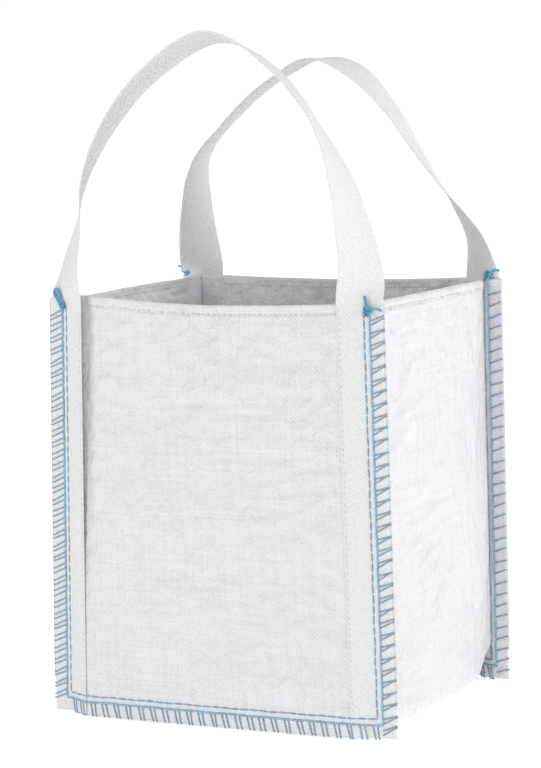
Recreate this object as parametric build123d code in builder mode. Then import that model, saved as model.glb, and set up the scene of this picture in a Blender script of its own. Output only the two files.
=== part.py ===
"""Mini bulk bag (FIBC): U-panel, front and back panels, two webbing lift loops and their seams.

Frame, in mm: +Z up, the front face looks along -Y, +X is to the right of the front face.
The origin is the middle of the base, on the floor that the bag stands on.
"""
from build123d import *

import os
from math import ceil, cos, radians, sin

os.makedirs("parts", exist_ok=True)

# Driving dimensions
FRONT_WIDTH = 378  # front panel, from fin edge to fin edge
DEPTH = 288  # from the front seam plane to the back seam plane
RIM_HEIGHT = 420  # mouth above the floor
SEAM_MARGIN = 20  # fin that each seam leaves outside the walls
FLOOR_GAP = 1  # lower edge of the fins above the floor
FABRIC = 0.8  # woven fabric with its coating and its crinkles
BASE_CORNER_RADIUS = 22  # fold of the U-panel between base and side
BASE_SAG_LENGTH = 26  # stretch in which the base drops from the seam to the floor
BASE_LEDGE = 4  # stretch of base that stays level beside the seam
HEM_HEIGHT = 10

WEBBING_WIDTH = 46
WEBBING_THICKNESS = 1.6

THREAD = 0.8
NEEDLE_LINE = 13  # overlock needle line, in from the fin edge
CHAIN_LINE = 19  # safety chain stitch, in from the fin edge
CHAIN_PITCH = 10
OVERLOCK_PITCH = 11.5
HEM_STITCH_PITCH = 6
HEM_STITCH_INSET = 1.5  # white stitch line, above the hem's lower edge
SEAM_END = 3  # stitches stop this far from a corner or the mouth
STITCH_SHARE = 0.7  # part of each pitch that a stitch shows
KNOT_RADIUS = 3.4
KNOT_TAIL = 12
WEBBING_STITCH_PITCH = 9
WEBBING_STITCH_INSET = 2.5  # white stitch line, in from the webbing's inner edge

LOOP_GAP = 2.5  # free loop's lower end, above the mouth

# Free loops: x, y, z of the webbing's centre line and its twist in degrees,
# 90 where it lies flat against the panel and 0 where its width runs front to back.
FRONT_ROUTE = [
    (-154, -146, 451, 49),
    (-145, -145, 487, 37),
    (-134, -144, 539, 20),
    (-101, -143, 595, 5),
    (-52, -141, 645, -6),
    (16, -141, 675, -15),
    (80, -141, 639, -12),
    (122, -143, 588, -15),
    (148, -144, 533, 5),
    (160, -145, 485, 26),
    (166, -146, 452, 42),
]
BACK_ROUTE = [
    (-165, 143, 453, 40),
    (-163, 137, 489, 20),
    (-153, 126, 539, -4),
    (-102, 112, 591, -8),
    (-37, 100, 633, -3),
    (10, 96, 650, 0),
    (42, 100, 639, -6),
    (81, 112, 597, 4),
    (110, 126, 545, 14),
    (140, 137, 495, 28),
    (158, 143, 462, 45),
]

# Values that follow from them
fin_x = FRONT_WIDTH / 2
wall_x = fin_x - SEAM_MARGIN
seam_y = DEPTH / 2
seam_base_z = FLOOR_GAP + SEAM_MARGIN
webbing_x = fin_x - WEBBING_WIDTH / 2
webbing_inner_x = fin_x - WEBBING_WIDTH
webbing_face = seam_y + FABRIC + WEBBING_THICKNESS
webbing_y = webbing_face - WEBBING_THICKNESS / 2
flange_back = seam_y - FABRIC


def save(piece, name):
    """Label a finished piece and write its STEP file."""
    piece.part.label = name
    export_step(piece.part, f"parts/{name}.step")


def wall_profile(y, base_z, inset, top_z):
    """Sketch of the U-panel's section at one y, filled up to top_z."""
    half = wall_x - inset
    low = base_z + inset
    radius = BASE_CORNER_RADIUS - inset
    with BuildSketch(Plane.XZ.offset(-y)) as profile:
        with BuildLine():
            Line((-half, top_z), (-half, low + radius))
            RadiusArc((-half, low + radius), (-half + radius, low), -radius)
            Line((-half + radius, low), (half - radius, low))
            RadiusArc((half - radius, low), (half, low + radius), -radius)
            Line((half, low + radius), (half, top_z))
            Line((half, top_z), (-half, top_z))
        make_face()
    return profile.sketch


def wall_body(inset, top_z, mode):
    """Add or cut the U-panel's filled body: flat on the floor, rising to a seam at each end."""
    ledge_y = seam_y - BASE_LEDGE
    flat_y = ledge_y - BASE_SAG_LENGTH
    rising = [(flat_y, 0), (ledge_y, seam_base_z), (seam_y, seam_base_z)]
    stations = [(-y, z) for y, z in reversed(rising)] + rising
    for (y_a, z_a), (y_b, z_b) in zip(stations, stations[1:]):
        ends = [wall_profile(y_a, z_a, inset, top_z), wall_profile(y_b, z_b, inset, top_z)]
        loft(ends, ruled=True, mode=mode)


def make_u_panel():
    """Left side, base and right side in one length of fabric, with its seam flanges and hems."""
    over = 30
    with BuildPart() as u_panel:
        wall_body(0, RIM_HEIGHT, Mode.ADD)
        wall_body(FABRIC, RIM_HEIGHT + over, Mode.SUBTRACT)
        for side in (-1, 1):
            with BuildSketch(Plane.XZ.offset(-side * (seam_y - FABRIC / 2))):
                with Locations((0, (RIM_HEIGHT + FLOOR_GAP) / 2)):
                    Rectangle(FRONT_WIDTH, RIM_HEIGHT - FLOOR_GAP)
                cut_low = seam_base_z + FABRIC
                with Locations((0, (RIM_HEIGHT + over + cut_low) / 2)):
                    Rectangle(2 * (wall_x - FABRIC), RIM_HEIGHT + over - cut_low, mode=Mode.SUBTRACT)
            extrude(amount=FABRIC / 2, both=True)
            hem_x = wall_x - 1.5 * FABRIC
            with BuildSketch(Plane.YZ.offset(side * hem_x)):
                with Locations((0, RIM_HEIGHT - HEM_HEIGHT / 2)):
                    Rectangle(2 * flange_back, HEM_HEIGHT)
            extrude(amount=FABRIC / 2, both=True)
    return u_panel


def make_end_panel(side):
    """Front (side -1) or back (side 1) panel: a flat sheet with a hem folded inwards."""
    with BuildPart() as panel:
        with BuildSketch(Plane.XZ.offset(-side * (seam_y + FABRIC / 2))):
            with Locations((0, (RIM_HEIGHT + FLOOR_GAP) / 2)):
                Rectangle(FRONT_WIDTH, RIM_HEIGHT - FLOOR_GAP)
        extrude(amount=FABRIC / 2, both=True)
        with BuildSketch(Plane.XZ.offset(-side * (seam_y - FABRIC / 2))):
            with Locations((0, RIM_HEIGHT - HEM_HEIGHT / 2)):
                Rectangle(2 * (wall_x - 2.5 * FABRIC), HEM_HEIGHT)
        extrude(amount=FABRIC / 2, both=True)
    return panel


def make_sewn_webbing(side, hand):
    """One sewn leg of a loop, flat on the outside of its panel from the base seam to the mouth."""
    with BuildPart() as leg:
        with BuildSketch(Plane.XZ.offset(-side * webbing_y)):
            with Locations((hand * webbing_x, (RIM_HEIGHT + FLOOR_GAP) / 2)):
                Rectangle(WEBBING_WIDTH, RIM_HEIGHT - FLOOR_GAP)
        extrude(amount=WEBBING_THICKNESS / 2, both=True)
    return leg


def loop_planes(route, side):
    """One plane for each station of a loop, its x along the webbing's width."""
    ends = [(hand * webbing_x, side * webbing_y, RIM_HEIGHT + LOOP_GAP, 90) for hand in (-1, 1)]
    stations = [ends[0], *route, ends[1]]
    points = [Vector(*station[:3]) for station in stations]
    across = Vector(0, 1, 0)
    planes = []
    for index, (*_, twist) in enumerate(stations):
        if index == 0:
            along = Vector(0, 0, 1)
        elif index == len(stations) - 1:
            along = Vector(0, 0, -1)
        else:
            along = (points[index + 1] - points[index - 1]).normalized()
        flat = (across - along * across.dot(along)).normalized()
        outward = along.cross(flat)
        turn = radians(twist)
        width = flat * cos(turn) - outward * (side * sin(turn))
        planes.append(Plane(origin=points[index], x_dir=width, z_dir=along))
    return planes


def make_free_loop(route, side):
    """The free arch of a loop: one ribbon of webbing that twists a quarter turn in each leg."""
    planes = loop_planes(route, side)
    crown = len(planes) // 2
    with BuildPart() as loop:
        for half in (planes[: crown + 1], planes[crown:]):
            for plane in half:
                with BuildSketch(plane):
                    Rectangle(WEBBING_WIDTH, WEBBING_THICKNESS)
            loft()
    return loop


def spaced(start, end, pitch):
    """Middles of equal steps of about one pitch from start to end, and the step."""
    count = ceil(abs(end - start) / pitch)
    step = (end - start) / count
    return [start + step * (index + 0.5) for index in range(count)], abs(step)


def outer_face(x):
    """Distance from the bag's middle to the outer face of a front or back seam at x."""
    return webbing_face if abs(x) > webbing_inner_x else seam_y + FABRIC


def bars(places, length, axis):
    """Add one straight stitch of thread at each place, along the given axis."""
    sizes = [THREAD, THREAD, THREAD]
    sizes["XYZ".index(axis)] = length
    with Locations(*places):
        Box(*sizes)


def make_seam_line(side, inset):
    """Stitches of one seam line, down, across and up, on both faces of the fin."""
    line_x = fin_x - inset
    line_z = FLOOR_GAP + inset
    heights, rise = spaced(line_z + SEAM_END, RIM_HEIGHT - SEAM_END, CHAIN_PITCH)
    crossings, run = spaced(SEAM_END - line_x, line_x - SEAM_END, CHAIN_PITCH)
    inner_y = flange_back - THREAD / 2
    upright = []
    level = []
    for z in heights:
        for hand in (-1, 1):
            upright.append((hand * line_x, side * (outer_face(line_x) + THREAD / 2), z))
            upright.append((hand * line_x, side * inner_y, z))
    for x in crossings:
        outer_y = outer_face(abs(x) + run / 2) + THREAD / 2
        level.append((x, side * outer_y, line_z))
        level.append((x, side * inner_y, line_z))
    with BuildPart() as line:
        bars(upright, STITCH_SHARE * rise, "Z")
        bars(level, STITCH_SHARE * run, "X")
    return line


def strand_outline(front):
    """Outline of one overlock strand, as (distance out from the fin edge, y)."""
    reach = THREAD - NEEDLE_LINE
    return [
        (reach, front),
        (0, front),
        (0, flange_back),
        (reach, flange_back),
        (reach, flange_back - THREAD),
        (THREAD, flange_back - THREAD),
        (THREAD, front + THREAD),
        (reach, front + THREAD),
    ]


def make_overlock(side):
    """Overlock strands that wrap the fin edge down both sides and along the base."""
    heights, _ = spaced(FLOOR_GAP + NEEDLE_LINE + SEAM_END, RIM_HEIGHT - SEAM_END, OVERLOCK_PITCH)
    reach_x = fin_x - NEEDLE_LINE - SEAM_END
    crossings, _ = spaced(-reach_x, reach_x, OVERLOCK_PITCH)
    with BuildPart() as overlock:
        with BuildSketch(*[Plane.XY.offset(z) for z in heights]):
            for hand in (-1, 1):
                with BuildLine():
                    outline = [(hand * (fin_x + out), side * y) for out, y in strand_outline(webbing_face)]
                    Polyline(*outline, close=True)
                make_face()
        extrude(amount=THREAD / 2, both=True)
        for front in (seam_y + FABRIC, webbing_face):
            planes = [Plane.YZ.offset(x) for x in crossings if outer_face(abs(x) + THREAD) == front]
            with BuildSketch(*planes):
                with BuildLine():
                    outline = [(side * y, FLOOR_GAP - out) for out, y in strand_outline(front)]
                    Polyline(*outline, close=True)
                make_face()
            extrude(amount=THREAD / 2, both=True)
    return overlock


def make_webbing_stitches(side, hand):
    """White stitches that hold the inner edge of one sewn leg to its panel."""
    x = hand * (webbing_inner_x + WEBBING_STITCH_INSET)
    low = seam_base_z + SEAM_END
    heights, rise = spaced(low, RIM_HEIGHT - HEM_HEIGHT - SEAM_END, WEBBING_STITCH_PITCH)
    places = [(x, side * (webbing_face + THREAD / 2), z) for z in heights]
    places += [(x, side * (seam_y - THREAD / 2), z) for z in heights]
    with BuildPart() as stitches:
        bars(places, STITCH_SHARE * rise, "Z")
    return stitches


def make_end_hem_stitches(side):
    """White stitches along the hem of the front or back panel, outside and inside."""
    z = RIM_HEIGHT - HEM_HEIGHT + HEM_STITCH_INSET
    crossings, run = spaced(-webbing_inner_x, webbing_inner_x, HEM_STITCH_PITCH)
    places = [(x, side * (seam_y + FABRIC + THREAD / 2), z) for x in crossings]
    places += [(x, side * (flange_back - THREAD / 2), z) for x in crossings]
    with BuildPart() as stitches:
        bars(places, STITCH_SHARE * run, "X")
    return stitches


def make_side_hem_stitches(hand):
    """White stitches along the hem of the left or right side, outside and inside."""
    z = RIM_HEIGHT - HEM_HEIGHT + HEM_STITCH_INSET
    reach_y = flange_back - SEAM_END
    crossings, run = spaced(-reach_y, reach_y, HEM_STITCH_PITCH)
    places = [(hand * (wall_x + THREAD / 2), y, z) for y in crossings]
    places += [(hand * (wall_x - 2 * FABRIC - THREAD / 2), y, z) for y in crossings]
    with BuildPart() as stitches:
        bars(places, STITCH_SHARE * run, "Y")
    return stitches


def make_knot(side, hand):
    """Thread ends knotted at the top of a corner seam, with a short tail towards the fin edge."""
    x = hand * (fin_x - NEEDLE_LINE - KNOT_RADIUS)
    y = side * (webbing_face + THREAD + KNOT_RADIUS)
    z = RIM_HEIGHT - SEAM_END - KNOT_RADIUS
    with BuildPart() as knot:
        with Locations((x, y, z)):
            Sphere(KNOT_RADIUS, rotation=(0, 0, 90))
        with Locations((x + hand * KNOT_TAIL / 2, y, z)):
            Cylinder(THREAD, KNOT_TAIL, rotation=(0, 90 * hand, 0))
    return knot


save(make_u_panel(), "u_panel")
for end_name, end_side, route in (("front", -1, FRONT_ROUTE), ("back", 1, BACK_ROUTE)):
    save(make_end_panel(end_side), f"{end_name}_panel")
    save(make_free_loop(route, end_side), f"{end_name}_loop")
    save(make_overlock(end_side), f"{end_name}_overlock_strands")
    save(make_seam_line(end_side, NEEDLE_LINE), f"{end_name}_overlock_needle_thread")
    save(make_seam_line(end_side, CHAIN_LINE), f"{end_name}_chain_stitch")
    save(make_end_hem_stitches(end_side), f"{end_name}_hem_stitches")
    for hand_name, hand_side in (("left", -1), ("right", 1)):
        save(make_sewn_webbing(end_side, hand_side), f"{end_name}_{hand_name}_webbing")
        save(make_webbing_stitches(end_side, hand_side), f"{end_name}_{hand_name}_webbing_stitches")
        save(make_knot(end_side, hand_side), f"{end_name}_{hand_name}_knot")
for hand_name, hand_side in (("left", -1), ("right", 1)):
    save(make_side_hem_stitches(hand_side), f"{hand_name}_hem_stitches")
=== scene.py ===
"""Looks of the small bulk bag: crinkled woven panels, webbing loops, blue overlocked seams."""
from math import cos, pi, radians, sin

import bpy
import numpy as np
from mathutils import Matrix, Vector


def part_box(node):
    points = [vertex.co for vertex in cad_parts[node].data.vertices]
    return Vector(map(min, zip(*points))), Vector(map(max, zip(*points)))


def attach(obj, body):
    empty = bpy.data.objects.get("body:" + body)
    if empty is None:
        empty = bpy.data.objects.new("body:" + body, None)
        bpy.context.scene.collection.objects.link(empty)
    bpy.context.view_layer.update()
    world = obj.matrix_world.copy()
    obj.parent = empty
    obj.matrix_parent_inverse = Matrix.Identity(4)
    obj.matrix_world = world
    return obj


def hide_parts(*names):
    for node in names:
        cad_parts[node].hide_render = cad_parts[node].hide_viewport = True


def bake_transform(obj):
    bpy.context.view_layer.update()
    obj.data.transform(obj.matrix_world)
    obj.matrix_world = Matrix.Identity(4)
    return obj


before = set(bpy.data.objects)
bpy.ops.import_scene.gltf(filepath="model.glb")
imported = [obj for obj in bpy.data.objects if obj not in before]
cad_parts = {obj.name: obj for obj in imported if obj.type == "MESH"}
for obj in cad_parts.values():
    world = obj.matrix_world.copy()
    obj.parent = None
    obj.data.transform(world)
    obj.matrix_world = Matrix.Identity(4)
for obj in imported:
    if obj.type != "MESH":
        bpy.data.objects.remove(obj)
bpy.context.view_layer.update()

# Sizes of the bag, in metres
FABRIC = 0.0005
WEBBING = 0.0015
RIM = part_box("u_panel")[1][2]
FIN_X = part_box("front_panel")[1][0]
MARGIN_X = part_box("front_right_webbing")[0][0]  # inner edge of the sewn webbing
WEBBING_WIDTH = FIN_X - MARGIN_X
SEAM = 0.0215  # width of the fin outside the walls
WALL_X = FIN_X - SEAM
PANEL_Y = 0.153  # front and back panels at their middles
FIN_START = FIN_X - 0.017  # the corner rounds off up to here, and the fin stands out past it
# Slopes of the sewn margin and of the fin past it, turned back towards the sides
CORNER_TURNS = {(-1, -1): (0.50, -0.08), (-1, 1): (0.24, 0.10), (1, -1): (0.12, 0.05), (1, 1): (0.42, 0.0)}
FLOOR_GAP = 0.0022  # lower edge of the fins above the floor
HEM = 0.010
NEEDLE_LINE = 0.013
CHAIN_LINE = 0.019
PANEL_OUT = 0.0011  # middle of the webbing, outside the middle of the panel
GROOVE_DEPTH = 0.0085  # dip of the front panel beside the left webbing
FINE = 0.0027  # grid step of the fabric

# Stitches, in metres
OVERLOCK_PITCH = 0.0115
BASE_OVERLOCK_PITCH = 0.0128
CHAIN_PITCH = 0.010
HEM_PITCH = 0.0055
NEEDLE_RADIUS = 0.00118
CHAIN_RADIUS = 0.00085
STRAND_RADIUS = 0.00072
HEM_FACES = (0.0014, -0.0004)  # outer and inner face of the hem, from the middle of the panel
SIDE_REACH = 0.140  # half the length of the side hems' stitches

# Free loops: x, y, z in millimetres and twist in degrees, as the frame's own loops run
FRONT_ROUTE = [
    (-154, -146, 451, 49),
    (-145, -145, 487, 37),
    (-134, -144, 539, 20),
    (-101, -143, 595, 5),
    (-52, -141, 645, -6),
    (16, -141, 675, -15),
    (80, -141, 639, -12),
    (122, -143, 588, -15),
    (148, -144, 533, 5),
    (160, -145, 485, 26),
    (166, -146, 452, 42),
]
BACK_ROUTE = [
    (-165, 143, 453, 40),
    (-163, 137, 489, 20),
    (-153, 126, 539, -4),
    (-102, 112, 591, -8),
    (-37, 100, 633, -3),
    (10, 96, 650, 0),
    (42, 100, 639, -6),
    (81, 112, 597, 4),
    (110, 126, 545, 14),
    (140, 137, 495, 28),
    (158, 143, 462, 45),
]


# ---------------------------------------------------------------- noise and shape of the cloth


def smooth(t):
    """Smooth step from 0 to 1."""
    t = np.clip(t, 0, 1)
    return t * t * (3 - 2 * t)


def cloud(u, v, seed):
    """Smooth noise from -1 to 1 with one bump for each unit of u and v."""
    size = 97
    table = np.random.default_rng(seed).uniform(-1, 1, (size, size))
    u, v = np.broadcast_arrays(np.asarray(u, float), np.asarray(v, float))
    iu, iv = np.floor(u).astype(int), np.floor(v).astype(int)
    fu, fv = smooth(u - iu), smooth(v - iv)
    a, b = table[iu % size, iv % size], table[(iu + 1) % size, iv % size]
    c, d = table[iu % size, (iv + 1) % size], table[(iu + 1) % size, (iv + 1) % size]
    return (a * (1 - fu) + b * fu) * (1 - fv) + (c * (1 - fu) + d * fu) * fv


def crinkle(u, v, seed):
    """Height of creased tape fabric: soft waves with sharp upright and level creases."""
    warp_u = u + 0.004 * cloud(u / 0.05, v / 0.03, seed + 1)
    warp_v = v + 0.004 * cloud(u / 0.03, v / 0.05, seed + 2)
    upright = 1 - np.abs(cloud(warp_u / 0.011, v / 0.060, seed + 3)) * 2
    level = 1 - np.abs(cloud(u / 0.055, warp_v / 0.010, seed + 4)) * 2
    where = smooth(0.5 + cloud(u / 0.07, v / 0.06, seed + 5))
    soft = cloud(u / 0.085, v / 0.10, seed + 6)
    small = cloud(u / 0.022, v / 0.026, seed + 7)
    slant = 1 - np.abs(cloud((u + 0.6 * v) / 0.05, (v - 0.6 * u) / 0.012, seed + 8)) * 2
    folds = 0.0015 * np.maximum(slant, 0) * smooth(2 * cloud(u / 0.06, v / 0.05, seed + 9))
    return 0.0016 * soft + 0.0015 * small + 0.0006 * upright * where + 0.0009 * level * (1 - where) + folds


def lean(x, z, side):
    """Sideways shift of the front seams, which spread towards the floor."""
    if side > 0:
        return 0 * x
    left, right = 0.006 * (2 * z / RIM - 1), 0.0035 * (1 - z / RIM)
    return np.where(x < 0, left, right) * smooth(np.abs(x) / WALL_X)


def rim_height(side, x):
    """Height of the front and back rims, which hang a little in the middle."""
    raised = 0.0045 * smooth((0.02 - x) / 0.16) * smooth((x + FIN_START) / 0.012) * (side < 0)
    return RIM - 0.003 * (1 - np.minimum(np.abs(x) / MARGIN_X, 1) ** 2) + raised


def corner_drop(side, x):
    """How far the panel at x falls back from its middle plane, and its slope there."""
    a = np.abs(x)
    hand = np.where(x < 0, 0, 1)
    turns = np.array([CORNER_TURNS[side, -1], CORNER_TURNS[side, 1]])
    rounding, fin = turns[hand, 0], turns[hand, 1]
    drop = rounding * (np.clip(a, MARGIN_X, FIN_START) - MARGIN_X) + fin * np.maximum(a - FIN_START, 0)
    slope = rounding * smooth((a - MARGIN_X + 0.008) / 0.016)
    return drop, slope + (fin - slope) * smooth((a - FIN_START + 0.003) / 0.006)


def panel_relief(side, x, z, seed):
    """How far the crinkled front or back panel stands out from its smooth shape."""
    free = smooth((MARGIN_X - 0.004 - np.abs(x)) / 0.02) * smooth((z - 0.024) / 0.02)
    groove = np.exp(-(((x + MARGIN_X - 0.001) / 0.010) ** 2)) * smooth((z - 0.06) / 0.34)
    pucker = np.sin(z * 2 * pi / 0.023 + 2 * cloud(z / 0.04, 0, seed)) * smooth((z - 0.02) / 0.03)
    beside = (1 - free) * smooth((MARGIN_X - np.abs(x)) / 0.004)
    return crinkle(x, z, seed) * free - GROOVE_DEPTH * groove * (side < 0) + 0.0007 * pucker * beside


def panel_point(side, x, z, out=0.0):
    """Point on the front (-1) or back (1) panel, moved out along its normal."""
    x, z = np.broadcast_arrays(np.asarray(x, float), np.asarray(z, float))
    a = np.abs(x)
    belly = 0.004 * (1 - np.minimum(a / MARGIN_X, 1) ** 2) * np.sin(pi * np.clip(z / RIM, 0, 1) ** 0.7)
    drop, slope = corner_drop(side, x)
    tilt = slope / np.hypot(1, slope)
    px = np.sign(x) * (a - 0.2 * drop + tilt * out) + lean(x, z, side)
    return np.stack([px, side * (PANEL_Y + belly - drop + out * np.sqrt(1 - tilt**2)), z], -1)


# ---------------------------------------------------------------- mesh helpers


def add_object(name, vertices, faces, uvs, material):
    """New mesh object, smooth shaded, with one uv in metres along the cloth for each vertex."""
    mesh = bpy.data.meshes.new(name)
    mesh.from_pydata(np.asarray(vertices).tolist(), [], faces)
    layer = mesh.uv_layers.new(name="cloth")
    loops = np.empty(len(mesh.loops), int)
    mesh.loops.foreach_get("vertex_index", loops)
    layer.data.foreach_set("uv", np.asarray(uvs)[loops].ravel())
    mesh.polygons.foreach_set("use_smooth", np.ones(len(mesh.polygons), bool))
    mesh.materials.append(material)
    made = bpy.data.objects.new(name, mesh)
    bpy.context.scene.collection.objects.link(made)
    return made


def grid_faces(rows, columns):
    """Quads of a grid, row by row."""
    r, c = np.meshgrid(np.arange(rows - 1), np.arange(columns - 1), indexing="ij")
    low = (r * columns + c).ravel()
    return np.stack([low, low + 1, low + columns + 1, low + columns], -1)


def add_cloth(name, points, uvs, material):
    """One sheet of fabric from a grid of points, with the fabric's thickness."""
    faces = grid_faces(*points.shape[:2]).tolist()
    made = add_object(name, points.reshape(-1, 3), faces, uvs.reshape(-1, 2), material)
    solid = made.modifiers.new("thickness", "SOLIDIFY")
    solid.thickness = FABRIC
    solid.offset = 0
    return made


def ring_frames(path):
    """Two unit vectors across a path at each of its points, without sudden turns."""
    along = np.gradient(path, axis=0)
    along /= np.linalg.norm(along, axis=1, keepdims=True) + 1e-12
    first = np.cross(along[0], (0.3, 0.9, 0.31))
    normals = []
    for direction in along:
        first = first - direction * np.dot(first, direction)
        first = first / np.linalg.norm(first)
        normals.append(first)
    normals = np.array(normals)
    return normals, np.cross(along, normals)


class Threads:
    """Many thread tubes gathered into one mesh."""

    def __init__(self, sides=6):
        self.sides = sides
        self.vertices, self.faces, self.uvs, self.count = [], [], [], 0

    def add(self, path, radius):
        path = np.asarray(path, float)
        n, b = ring_frames(path)
        turn = np.linspace(0, 2 * pi, self.sides, endpoint=False)
        ring = n[:, None] * np.cos(turn)[None, :, None] + b[:, None] * np.sin(turn)[None, :, None]
        points = path[:, None] + radius * ring
        length = np.r_[0, np.cumsum(np.linalg.norm(np.diff(path, axis=0), axis=1))]
        around = np.broadcast_to(turn / (2 * pi) * radius * 6, (len(path), self.sides))
        uv = np.stack([around, np.broadcast_to(length[:, None], around.shape)], -1)
        rows, sides = len(path), self.sides
        i, j = np.meshgrid(np.arange(rows - 1), np.arange(sides), indexing="ij")
        a, d = i * sides + j, i * sides + (j + 1) % sides
        quads = np.stack([a, d, d + sides, a + sides], -1).reshape(-1, 4) + self.count
        self.faces += quads.tolist()
        self.faces.append([self.count + k for k in reversed(range(sides))])
        self.faces.append([self.count + (rows - 1) * sides + k for k in range(sides)])
        self.vertices.append(points.reshape(-1, 3))
        self.uvs.append(uv.reshape(-1, 2))
        self.count += rows * sides

    def make(self, name, material):
        return add_object(name, np.concatenate(self.vertices), self.faces, np.concatenate(self.uvs), material)


# ---------------------------------------------------------------- materials


class Nodes:
    """Short forms for building one material's node tree."""

    def __init__(self, name):
        self.material = bpy.data.materials.new(name)
        self.material.use_nodes = True
        self.tree = self.material.node_tree
        self.shader = self.tree.nodes["Principled BSDF"]
        coords = self.tree.nodes.new("ShaderNodeTexCoord")
        split = self.tree.nodes.new("ShaderNodeSeparateXYZ")
        self.tree.links.new(coords.outputs["UV"], split.inputs[0])
        self.uv, self.u, self.v = coords.outputs["UV"], split.outputs[0], split.outputs[1]

    def math(self, operation, a, b=0.0):
        node = self.tree.nodes.new("ShaderNodeMath")
        node.operation = operation
        for socket, value in zip(node.inputs, (a, b)):
            if isinstance(value, (int, float)):
                socket.default_value = value
            else:
                self.tree.links.new(value, socket)
        return node.outputs[0]

    def wave(self, value, pitch):
        return self.math("SINE", self.math("MULTIPLY", value, 2 * pi / pitch))

    def noise(self, stretch, scale, detail=3.0):
        mapping = self.tree.nodes.new("ShaderNodeMapping")
        mapping.inputs["Scale"].default_value = stretch
        self.tree.links.new(self.uv, mapping.inputs[0])
        node = self.tree.nodes.new("ShaderNodeTexNoise")
        node.inputs["Scale"].default_value = scale
        node.inputs["Detail"].default_value = detail
        self.tree.links.new(mapping.outputs[0], node.inputs["Vector"])
        return node.outputs["Fac"]

    def ramp(self, value, dark, light, low=0.3, high=0.7):
        node = self.tree.nodes.new("ShaderNodeValToRGB")
        for element, place, colour in zip(node.color_ramp.elements, (low, high), (dark, light)):
            element.position = place
            element.color = (*colour, 1)
        self.tree.links.new(value, node.inputs[0])
        return node.outputs[0]

    def bump(self, height, distance, strength, under=None):
        node = self.tree.nodes.new("ShaderNodeBump")
        node.inputs["Distance"].default_value = distance
        node.inputs["Strength"].default_value = strength
        self.tree.links.new(height, node.inputs["Height"])
        if under is not None:
            self.tree.links.new(under, node.inputs["Normal"])
        return node.outputs[0]

    def set(self, **values):
        for name, value in values.items():
            socket = self.shader.inputs[name.replace("_", " ")]
            if isinstance(value, bpy.types.NodeSocket):
                self.tree.links.new(value, socket)
            else:
                socket.default_value = value


def woven_material():
    """Plain weave of flat polypropylene tapes, about twelve to the inch, thinly coated."""
    n = Nodes("woven_tape")
    pitch = 0.00424
    over = n.math("MULTIPLY", n.wave(n.u, pitch), n.wave(n.v, pitch))
    warp = n.noise((1, 0.02, 1), 470, 1)
    weft = n.noise((0.02, 1, 1), 470, 1)
    tapes = n.math("ADD", n.math("MULTIPLY", warp, 0.5), n.math("MULTIPLY", weft, 0.5))
    crease = n.noise((1, 0.8, 1), 75, 6)
    # Colour from the random tape tone, plus a small share of the weave relief that is painted shade: the dips
    # of the weave come out darker
    tape_tone_and_weave_shade = n.math("ADD", n.math("MULTIPLY", tapes, 0.5), n.math("MULTIPLY", over, 0.06))
    colour = n.ramp(n.math("ADD", tape_tone_and_weave_shade, 0.24), (0.62, 0.615, 0.635), (0.785, 0.78, 0.80))
    weave = n.bump(over, 0.0003, 0.55)
    fine = n.bump(crease, 0.006, 0.85, weave)
    n.set(Base_Color=colour, Normal=fine, Roughness=n.math("ADD", n.math("MULTIPLY", crease, 0.2), 0.32))
    n.set(Specular_IOR_Level=0.45)
    return n.material


def webbing_material():
    """Heavy twill webbing: diagonal ribs crossed by the warp yarns, with firm selvedges."""
    n = Nodes("twill_webbing")
    wander = n.math("MULTIPLY", n.noise((1, 1, 1), 70, 2), 0.004)
    rib = n.wave(n.math("ADD", n.math("ADD", n.math("MULTIPLY", n.u, 0.9), n.v), wander), 0.0040)
    yarn = n.wave(n.u, 0.0021)
    relief = n.math("ADD", n.math("MULTIPLY", rib, 0.85), n.math("MULTIPLY", yarn, 0.15))
    fuzz = n.noise((1, 1, 1), 300, 2)
    haze = n.math("ADD", n.math("MULTIPLY", fuzz, 0.5), 0.25)
    # The rib relief's share of the colour is painted shade: the rib grooves come out darker; the haze is
    # random tone
    level = n.math("ADD", n.math("MULTIPLY", relief, 0.10), haze)
    colour = n.ramp(level, (0.64, 0.64, 0.645), (0.78, 0.78, 0.78))
    n.set(Base_Color=colour, Normal=n.bump(relief, 0.0004, 0.5), Roughness=0.62)
    n.set(Specular_IOR_Level=0.3)
    return n.material


def thread_material(name, dark, light):
    """Twisted multifilament sewing thread."""
    n = Nodes(name)
    twist = n.wave(n.math("ADD", n.u, n.math("MULTIPLY", n.v, 1.6)), 0.0017)
    # The twist's share of the colour is painted shade: the grooves between the plies come out darker; the
    # noise is random tone
    level = n.math("ADD", n.math("MULTIPLY", twist, 0.2), n.noise((1, 1, 1), 260, 2))
    n.set(Base_Color=n.ramp(level, dark, light), Normal=n.bump(twist, 0.0003, 0.7), Roughness=0.5)
    n.set(Specular_IOR_Level=0.35)
    return n.material


FABRIC_LOOK = woven_material()
WEBBING_LOOK = webbing_material()
BLUE_LINE = thread_material("blue_needle_thread", (0.20, 0.40, 0.58), (0.42, 0.64, 0.82))
BLUE_STRAND = thread_material("blue_looper_thread", (0.19, 0.31, 0.41), (0.40, 0.55, 0.66))
BLUE_KNOT = thread_material("blue_knot_thread", (0.10, 0.30, 0.48), (0.28, 0.54, 0.76))
WHITE_THREAD = thread_material("white_sewing_thread", (0.50, 0.50, 0.50), (0.78, 0.78, 0.78))


# ---------------------------------------------------------------- fabric panels


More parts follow.
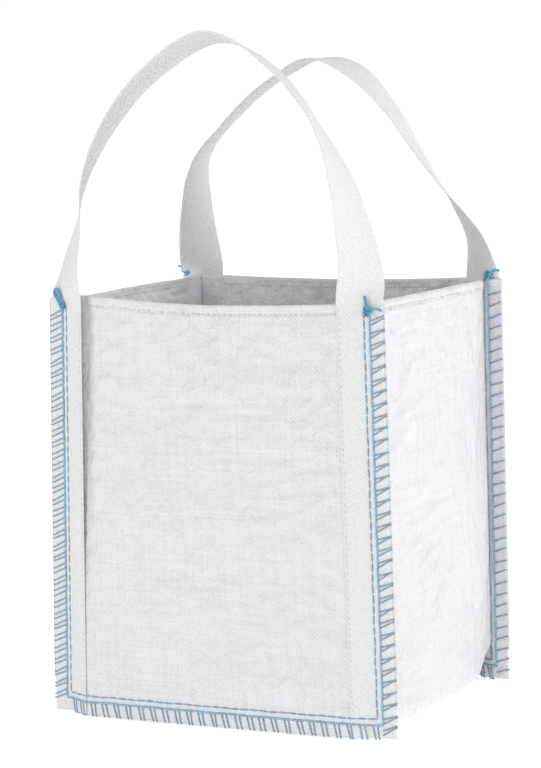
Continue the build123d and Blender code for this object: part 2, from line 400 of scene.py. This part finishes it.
def add_end_panel(name, side, seed):
    """Front or back panel with its margins, crinkles and a hem folded to the outside."""
    x = np.linspace(-FIN_X, FIN_X, int(2 * FIN_X / FINE))
    rows = np.linspace(0, 1, int(RIM / FINE))
    top = rim_height(side, x)
    z = FLOOR_GAP + rows[:, None] * (top - FLOOR_GAP)[None, :]
    xx = np.broadcast_to(x, z.shape)
    sheet = panel_point(side, xx, z, panel_relief(side, xx, z, seed))
    fold = []  # the hem turned down on the outside, between the two lengths of webbing
    for outward, drop in ((0.0004, -0.0003), (0.0009, 0.0), (0.0010, 0.002), (0.0011, 0.006), (0.0010, HEM)):
        between = np.abs(x) < MARGIN_X
        height = top - drop * between
        fold.append(panel_point(side, x, height, panel_relief(side, x, height, seed) + outward * between))
    sheet = np.concatenate([sheet, np.array(fold)])
    z_uv = np.concatenate([z, np.array([top + 0.001 * k for k in (1, 2, 4, 8, 11)])])
    uvs = np.stack([np.broadcast_to(x, z_uv.shape), z_uv], -1)
    made = add_cloth(f"{name}_fabric", sheet, uvs, FABRIC_LOOK)
    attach(made, "bag")
    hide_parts(f"{name}_panel")
    return made


def base_height(y, corner_y):
    """Height of the base fabric: up at the seams, down on the floor between them."""
    return FLOOR_GAP + SEAM - (SEAM + FLOOR_GAP - 0.0008) * smooth((corner_y - np.abs(y) - 0.002) / 0.036)


def add_u_panel():
    """Left side, base and right side in one sheet, turned out into the fins at both ends."""
    corner_ys = {(s, h): PANEL_Y - t[0] * (WALL_X - MARGIN_X) - 0.001 for (s, h), t in CORNER_TURNS.items()}
    corner_y = max(corner_ys.values())
    radius = 0.018
    walls = int(RIM / FINE)
    arc = np.linspace(0, pi / 2, 9)[1:-1]
    low_count = int(2 * (WALL_X - radius) / FINE)
    fin = np.linspace(SEAM, 0.0015, 7)
    middle = np.linspace(-1, 1, int(2 * corner_y / FINE))
    columns = [(-1, d, -corner_y) for d in fin] + [(0, 0, corner_y * t) for t in middle]
    columns += [(1, d, corner_y) for d in reversed(fin)]
    grid, uvs, rim_lines = [], [], []
    for end, d, y in columns:
        base = float(base_height(y, corner_y))
        down = np.linspace(RIM, base + radius, walls)
        centre_x = WALL_X - radius
        side_x = np.concatenate([
            np.full(walls, -WALL_X), -centre_x - radius * np.cos(arc),
            np.linspace(-centre_x, centre_x, low_count),
            centre_x + radius * np.sin(arc), np.full(walls, WALL_X)])
        height = np.concatenate([
            down, base + radius - radius * np.sin(arc), np.full(low_count, base),
            base + radius - radius * np.cos(arc), down[::-1]])
        normal_x = np.concatenate([
            np.full(walls, -1.0), -np.cos(arc), np.zeros(low_count), np.sin(arc), np.full(walls, 1.0)])
        normal_z = np.concatenate([
            np.zeros(walls), -np.sin(arc), np.full(low_count, -1.0), -np.cos(arc), np.zeros(walls)])
        steps = np.hypot(np.diff(side_x), np.diff(height))
        length = np.r_[0, np.cumsum(steps)]
        belly = (1 - (y / corner_y) ** 2) * (0.003 + 0.005 * np.sin(pi * np.clip(height / RIM, 0, 1) ** 0.6))
        free = float(smooth((corner_y - abs(y)) / 0.02))
        on_base = np.abs(normal_z)
        out = crinkle(y + 0 * length, length, 31) * free * (1 - 0.7 * on_base) * 1.25 + belly * (1 - on_base)
        if end:
            out = out * 0 + d
        x = side_x + normal_x * out
        z = np.maximum(height + normal_z * out, 0.0006)
        share = (corner_y - y) / (2 * corner_y)
        x = x + lean(x, z, -1) * share
        if end:
            ys = end * (PANEL_Y - corner_drop(end, side_x + normal_x * out)[0] - 0.0009)
        else:
            sign = -1 if y < 0 else 1
            left, right = corner_ys[sign, -1], corner_ys[sign, 1]
            edge = left + (right - left) * (0.5 + 0.5 * side_x / WALL_X)
            level = PANEL_Y - 0.001 - corner_drop(sign, side_x)[0]
            ys = y * (edge * (1 - on_base) + level * on_base) / corner_y
        body = np.stack([x, ys, z], -1)
        hems = []
        for outward, row in ((0.0010, 4), (0.0011, 2), (0.0009, 0), (0.0004, 0)):
            if end:
                shift = (0, 0, 0.0001 * (5 - row))
                hems.append((body[0] + shift, body[-1] + shift))
            else:
                hems.append((body[row] - (outward, 0, 0), body[-1 - row] + (outward, 0, 0)))
        if not end:
            rim_lines.append((body[3], body[-4]))
        points = [left for left, _ in hems] + list(body) + [right for _, right in reversed(hems)]
        grid.append(points)
        past_rim = np.array([0.001, 0.002, 0.006, 0.012])
        along = np.r_[-past_rim[::-1], length, length[-1] + past_rim]
        across = y + end * d
        uvs.append(np.stack([np.full(len(along), across), along], -1))
    made = add_cloth("u_panel_fabric", np.array(grid), np.array(uvs), FABRIC_LOOK)
    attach(made, "bag")
    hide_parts("u_panel")
    return np.array(rim_lines)


# ---------------------------------------------------------------- webbing


def route_stations(route, side):
    """Centre and width vector at each station of one loop, from base seam to base seam."""
    stations = []
    heights = np.linspace(FLOOR_GAP, RIM - 0.012, 9)

    def sewn(hand, z):
        inner = panel_point(side, hand * MARGIN_X, z, PANEL_OUT)
        outer = panel_point(side, hand * FIN_X, z, PANEL_OUT)
        return (inner + outer) / 2, (outer - inner) * hand

    points = np.array([station[:3] for station in route], float) / 1000
    for z in heights:
        centre, width = sewn(-1, z)
        stations.append((centre, -width * side))
    ends = [sewn(hand, RIM)[0] for hand in (-1, 1)]
    padded = np.array([ends[0], *points, ends[1]])
    for index, (*_, twist) in enumerate(route, start=1):
        along = padded[index + 1] - padded[index - 1]
        along /= np.linalg.norm(along)
        flat = np.array((0, 1, 0)) - along * along[1]
        flat /= np.linalg.norm(flat)
        outward = np.cross(along, flat)
        turn = radians(twist)
        width = flat * cos(turn) - outward * (side * sin(turn))
        stations.append((padded[index], width))
    for z in heights[::-1]:
        centre, width = sewn(1, z)
        stations.append((centre, width * -side))
    centres = np.array([centre for centre, _ in stations])
    widths = np.array([width / np.linalg.norm(width) for _, width in stations])
    for index in range(1, len(widths)):
        if np.dot(widths[index], widths[index - 1]) < 0:
            widths[index] *= -1
    return centres, widths


def smooth_through(values, knots, places):
    """Catmull-Rom curve through values at uneven knots."""
    slope = np.gradient(values, knots, axis=0)
    index = np.clip(np.searchsorted(knots, places, side="right") - 1, 0, len(knots) - 2)
    width = (knots[index + 1] - knots[index])[:, None]
    t = ((places - knots[index])[:, None]) / width
    a, b, ma, mb = values[index], values[index + 1], slope[index] * width, slope[index + 1] * width
    start = (2 * t**3 - 3 * t**2 + 1) * a + (t**3 - 2 * t**2 + t) * ma
    return start + (3 * t**2 - 2 * t**3) * b + (t**3 - t**2) * mb


def add_webbing(name, route, side, seed):
    """One whole length of webbing: sewn leg, free arch and sewn leg, with round selvedges."""
    centres, widths = route_stations(route, side)
    knots = np.r_[0, np.cumsum(np.linalg.norm(np.diff(centres, axis=0), axis=1))]
    places = np.arange(0, knots[-1], 0.003)
    path = smooth_through(centres, knots, places)
    width = smooth_through(widths, knots, places)
    along = np.gradient(path, axis=0)
    along /= np.linalg.norm(along, axis=1, keepdims=True)
    width -= along * np.sum(width * along, axis=1, keepdims=True)
    width /= np.linalg.norm(width, axis=1, keepdims=True)
    normal = np.cross(width, along)
    half, thick = WEBBING_WIDTH / 2, WEBBING / 2
    profile = [(-half, 0), (-half + 0.0004, thick * 0.8)]
    profile += [(t * (half - 0.001), thick) for t in np.linspace(-1, 1, 11)]
    profile += [(half - 0.0004, thick * 0.8), (half, 0), (half - 0.0004, -thick * 0.8)]
    profile += [(t * (half - 0.001), -thick) for t in np.linspace(1, -1, 11)]
    profile += [(-half + 0.0004, -thick * 0.8)]
    profile = np.array(profile)
    free = smooth((path[:, 2] - RIM) / 0.05)[:, None]
    cup = 0.0012 * free * cloud(places / 0.09, 0, seed)[:, None]
    edge = 0.0005 * free * cloud(places[:, None] / 0.02, profile[None, :, 0] / half, seed + 1)
    lift = profile[None, :, 1] + cup * (profile[None, :, 0] / half) ** 2 + edge
    points = path[:, None] + width[:, None] * profile[None, :, :1] + normal[:, None] * lift[..., None]
    sewn = smooth((path[:, 2] - RIM + 0.012) / 0.034)[:, None, None]
    hand = np.where(path[:, 0] < 0, -1, 1)[:, None]
    facing = np.sign(np.sum(width * (1, 0, 0), axis=1))[:, None]
    across = hand * (FIN_X - half) + facing * profile[None, :, 0]
    outward = np.sign(normal[:, 1] * side)[:, None] * profile[None, :, 1]
    flat = panel_point(side, across, np.minimum(path[:, 2:], RIM + 0.03), PANEL_OUT + outward)
    flat[..., 2] = path[:, 2:]
    points = flat * (1 - sewn) + points * sewn
    rows, columns = points.shape[:2]
    faces = grid_faces(rows, columns + 1)
    faces = (faces // (columns + 1)) * columns + (faces % (columns + 1)) % columns
    faces = faces.tolist() + [list(range(columns))[::-1], [(rows - 1) * columns + k for k in range(columns)]]
    uvs = np.stack(np.broadcast_arrays(profile[None, :, 0], places[:, None]), -1).reshape(-1, 2)
    return add_object(name, points.reshape(-1, 3), faces, uvs, WEBBING_LOOK)


# ---------------------------------------------------------------- seams


def seam_point(side, where, along, inset, out):
    """Point on a fin: where is -1 left, 1 right or 0 base, and inset is in from the fin edge."""
    if where:
        return panel_point(side, where * (FIN_X - inset), along, out)
    return panel_point(side, along, FLOOR_GAP + inset, out)


def face_out(where, along, inward=False):
    """Distance of the thread from the middle of the panel, on the outer or inner face."""
    if inward:
        return -0.0016
    webbed = where != 0 or abs(along) > MARGIN_X
    return PANEL_OUT + WEBBING / 2 + 0.0002 if webbed else FABRIC / 2 + 0.0003


def stitched_line(threads, side, inset, pitch, radius, inward):
    """Thread that runs down, across and up, and dives into the cloth at every needle hole."""
    corner = FIN_X - inset
    runs = [(-1, RIM - 0.004, FLOOR_GAP + inset), (0, -corner, corner), (1, FLOOR_GAP + inset, RIM - 0.004)]
    for where, start, end in runs:
        count = int(abs(end - start) / pitch)
        path = []
        for step in np.linspace(0, count, count * 8 + 1):
            along = start + (end - start) * step / count
            rise = abs(sin(pi * step)) ** (0.3 if inset < CHAIN_LINE else 0.7)
            depth = face_out(where, along, inward)
            sunk = depth + (0.0011 * (1 - rise) if inward else -0.0011 * (1 - rise))
            wander = 0.0002 * sin(step * 1.7 + inset * 900)
            path.append(seam_point(side, where, along, inset + wander, sunk))
        threads.add(path, radius)


def overlock_strand(side, where, start, end):
    """Path of one strand: needle line, over the outer face, round the fin edge and back."""
    span = np.linspace(0, 1, 5)
    outer = face_out(where, start)
    path = []
    for t in span:
        along = start + (end - start) * t
        lift = outer + 0.0002 * sin(pi * t)
        path.append(seam_point(side, where, along, NEEDLE_LINE * (1 - t) + 0.0003, lift))
    for inset, out in ((-0.0009, outer * 0.6), (-0.0010, -0.0006), (-0.0002, -0.0017)):
        path.append(seam_point(side, where, end, inset, out))
    back = start + (end - start) * -0.4
    for t in (0.5, 1.0):
        path.append(seam_point(side, where, end + (back - end) * t, NEEDLE_LINE * t, -0.0017))
    return path


def add_seam(name, side, seed):
    """All thread of one seam: needle line, safety chain stitch and overlock strands."""
    needle, chain, strands = Threads(), Threads(), Threads(5)
    for inward in (False, True):
        stitched_line(needle, side, NEEDLE_LINE, OVERLOCK_PITCH, NEEDLE_RADIUS, inward)
        stitched_line(chain, side, CHAIN_LINE, CHAIN_PITCH, CHAIN_RADIUS, inward)
    random = np.random.default_rng(seed)
    base_reach = FIN_X - NEEDLE_LINE - 0.004
    runs = (
        (-1, 0.017, RIM - 0.006, OVERLOCK_PITCH),
        (1, 0.004, RIM - 0.010, OVERLOCK_PITCH),
        (0, -base_reach, base_reach, BASE_OVERLOCK_PITCH),
    )
    for where, low, high, pitch in runs:
        count = int((high - low) / pitch)
        for index in range(count):
            place = low + (high - low) * (index + 0.5) / count + random.uniform(-0.0006, 0.0006)
            if where:
                ends = ((place + 0.0018, -0.0062), (place - 0.0032, -0.0056))
                if where > 0:
                    ends = ((place, 0.0040), (place - 0.0046, 0.0072)) if side < 0 else ((place, 0.0030),)
            else:
                ends = ((place, 0.0026), (place + 0.0048, 0.0018))
            for start, shift in ends:
                shift += random.uniform(-0.0008, 0.0008)
                end = min(max(start + shift, low - 0.003), high + 0.004)
                strands.add(overlock_strand(side, where, start, end), STRAND_RADIUS)
    pieces = (
        (needle, "overlock_needle_thread", BLUE_LINE),
        (chain, "chain_stitch", BLUE_STRAND),
        (strands, "overlock_strands", BLUE_STRAND),
    )
    for threads, kind, look in pieces:
        made = threads.make(f"{name}_{kind}_thread", look)
        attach(made, "bag")
        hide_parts(f"{name}_{kind}")


def add_white_stitches(name, node, route, pitch, outs):
    """A row of white lockstitches on both faces: route(t) gives a point and its normal."""
    threads = Threads(5)
    length, point = route
    count = int(length / pitch)
    for out in outs:
        for index in range(count):
            t = np.linspace(index + 0.12, index + 0.88, 6)
            bow = np.sin(np.linspace(0, pi, 6)) * 0.0005 - 0.0004
            threads.add([point(s / count, out + np.sign(out) * b) for s, b in zip(t, bow)], 0.00032)
    made = threads.make(name, WHITE_THREAD)
    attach(made, "bag")
    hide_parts(node)


def add_knot(name, side, hand, tails, size, seed, shift=(0, 0, 0)):
    """Knotted thread ends: a trefoil tangle of several strands and a few loose tails."""
    threads = Threads()
    out = PANEL_OUT + WEBBING / 2 + 0.0028
    centre = seam_point(side, hand, RIM - 0.006, NEEDLE_LINE + 0.001, out) + shift
    turn = np.linspace(0, 2 * pi, 49)
    random = np.random.default_rng(seed)
    for layer in range(3):
        spin = random.uniform(0, 2 * pi)
        big = size * (1 - 0.18 * layer)
        x = big * (np.sin(turn) + 2 * np.sin(2 * turn + spin)) / 3
        z = big * (np.cos(turn) - 2 * np.cos(2 * turn + spin)) / 3
        y = -side * -0.0016 * np.sin(3 * turn + spin)
        threads.add(np.stack([centre[0] + x, centre[1] + y, centre[2] + z], -1), 0.00085)
    for tail in tails:
        points = centre + np.array(tail, float) / 1000
        knots = np.arange(len(points), dtype=float)
        path = smooth_through(points, knots, np.linspace(0, knots[-1], 24))
        threads.add(path, 0.0009)
        threads.add(path + np.array((0.0015, 0.0002, 0.0005)), 0.0008)
    made = threads.make(f"{name}_thread", BLUE_KNOT)
    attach(made, "bag")
    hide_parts(name)


# ---------------------------------------------------------------- the bag

side_rims = add_u_panel()
for end_name, end_side, end_seed in (("front", -1, 11), ("back", 1, 57)):
    add_end_panel(end_name, end_side, end_seed)
    add_seam(end_name, end_side, end_seed)
    loop_route = FRONT_ROUTE if end_side < 0 else BACK_ROUTE
    strap = add_webbing(f"{end_name}_webbing", loop_route, end_side, end_seed)
    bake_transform(strap)
    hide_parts(f"{end_name}_loop", f"{end_name}_left_webbing", f"{end_name}_right_webbing")
    for hand_name, hand in (("left", -1), ("right", 1)):
        stitch_x = hand * (MARGIN_X + 0.0025)
        low, high = FLOOR_GAP + SEAM + 0.003, RIM - 0.003
        add_white_stitches(
            f"{end_name}_{hand_name}_white_thread", f"{end_name}_{hand_name}_webbing_stitches",
            (high - low, lambda t, b, x=stitch_x: panel_point(end_side, x, low + (high - low) * t, b)),
            0.006, (PANEL_OUT + WEBBING / 2, -0.0003))
    reach = MARGIN_X - 0.001

    def end_hem_point(t, b, side=end_side, seed=end_seed, reach=reach):
        x = np.array(reach * (2 * t - 1))
        z = rim_height(side, x) - HEM + 0.0015
        return panel_point(side, x, z, panel_relief(side, x, z, seed) + b)

    add_white_stitches(
        f"{end_name}_hem_thread", f"{end_name}_hem_stitches",
        (2 * reach, end_hem_point), HEM_PITCH, HEM_FACES)
for hand_name, hand in (("left", -1), ("right", 1)):

    rim_line = side_rims[:, (hand + 1) // 2]

    def hem_point(t, b, hand=hand, line=rim_line):
        y = SIDE_REACH * (2 * t - 1)
        x, z = np.interp(y, line[:, 1], line[:, 0]), np.interp(y, line[:, 1], line[:, 2])
        return np.array((x + hand * b, y, z))

    add_white_stitches(
        f"{hand_name}_hem_thread", f"{hand_name}_hem_stitches",
        (2 * SIDE_REACH, hem_point), HEM_PITCH, HEM_FACES)

add_knot("front_left_knot", -1, -1, [
    [(-1, 0, -2), (-3, -1, 3), (-7, -1, 9), (-9, 0, 14), (-7, 0, 17), (-4, 0, 14), (-2, -1, 7), (0, 0, 1)],
], 0.0032, 3)
add_knot("front_right_knot", -1, 1, [
    [(0, 0, 0), (5, -1, 2), (10, 0, 2), (14, 0, 0)],
    [(0, 0, 0), (-1, -1, 6), (-2, -1, 11), (-3, 0, 14)],
], 0.0052, 5)
add_knot("back_right_knot", 1, 1, [
    [(0, 0, 0), (4, 0, 4), (9, 0, 7), (12, 0, 5)],
], 0.0052, 7, (0.001, -0.007, 0.009))
add_knot("back_left_knot", 1, -1, [
    [(0, 0, 0), (-5, 0, 3), (-10, 0, 4)],
], 0.0058, 9, (-0.010, -0.007, 0.012))

# ---------------------------------------------------------------- camera, light and floor

YAW, PITCH, ROLL = radians(27.5), radians(6.5), radians(1.73)
VIEW_OFFSET = (0.0175, 0.308, 3.0975)  # bag in the camera's axes: right, down, ahead
SEAM_ABOVE_FLOOR = 0.013
LENS_PIXELS, FRAME_HEIGHT = 3013, 768
AMBIENT = 0.74  # light from the room, against 1 from the lit backdrop


def add_camera():
    """Camera a little above the rim, turned to the right of the front face."""
    ahead = Vector((-sin(YAW) * cos(PITCH), cos(YAW) * cos(PITCH), -sin(PITCH)))
    right = Vector((cos(YAW), sin(YAW), 0))
    down = ahead.cross(right)
    tilted_right = right * cos(ROLL) + down * sin(ROLL)
    tilted_down = down * cos(ROLL) - right * sin(ROLL)
    place = -(tilted_right * VIEW_OFFSET[0] + tilted_down * VIEW_OFFSET[1] + ahead * VIEW_OFFSET[2])
    place.z += SEAM_ABOVE_FLOOR
    data = bpy.data.cameras.new("camera")
    data.sensor_fit = "VERTICAL"
    data.sensor_height = 36
    data.lens = LENS_PIXELS * data.sensor_height / FRAME_HEIGHT
    data.clip_end = 50
    camera = bpy.data.objects.new("camera", data)
    axes = Matrix((tilted_right, -tilted_down, -ahead)).transposed()
    camera.matrix_world = Matrix.Translation(place) @ axes.to_4x4()
    bpy.context.scene.collection.objects.link(camera)
    bpy.context.scene.camera = camera


def add_light(name, place, power, size, target=(0, 0, 0.25)):
    data = bpy.data.lights.new(name, "AREA")
    data.energy, data.size = power, size
    light = bpy.data.objects.new(name, data)
    light.location = place
    light.rotation_euler = (Vector(target) - Vector(place)).to_track_quat("-Z", "Y").to_euler()
    bpy.context.scene.collection.objects.link(light)


def add_studio():
    """White floor and surroundings, a soft key light from the right and a weak one from the left."""
    world = bpy.data.worlds.new("studio")
    world.use_nodes = True
    tree = world.node_tree
    coords = tree.nodes.new("ShaderNodeTexCoord")
    dot = tree.nodes.new("ShaderNodeVectorMath")
    dot.operation = "DOT_PRODUCT"
    dot.inputs[1].default_value = (-sin(YAW), cos(YAW), 0)
    ramp = tree.nodes.new("ShaderNodeValToRGB")
    for element, place, level in zip(ramp.color_ramp.elements, (0.55, 0.92), (AMBIENT, 1.0)):
        element.position = place
        element.color = (level, level, level, 1)
    tree.links.new(coords.outputs["Generated"], dot.inputs[0])
    tree.links.new(dot.outputs["Value"], ramp.inputs[0])
    tree.links.new(ramp.outputs[0], tree.nodes["Background"].inputs["Color"])
    tree.nodes["Background"].inputs["Strength"].default_value = 1.02
    bpy.context.scene.world = world
    bpy.context.scene.view_settings.view_transform = "Standard"
    add_light("key", (2.5, 0.2, 1.4), 22, 0.7)
    add_light("front", (-1.0, -2.6, 1.6), 14, 0.9)
    n = Nodes("studio_floor")
    tone = n.ramp(n.noise((1, 1, 1), 3, 1), (0.93, 0.93, 0.93), (0.94, 0.94, 0.94))
    n.set(Base_Color=tone, Roughness=0.9, Emission_Color=(1, 1, 1, 1), Emission_Strength=0.46)
    floor = add_object(
        "studio_floor_plane", [(-9, -9, 0), (9, -9, 0), (9, 9, 0), (-9, 9, 0)], [(0, 1, 2, 3)],
        [(0, 0), (1, 0), (1, 1), (0, 1)], n.material)
    floor.location.z = -0.0002


add_camera()
add_studio()
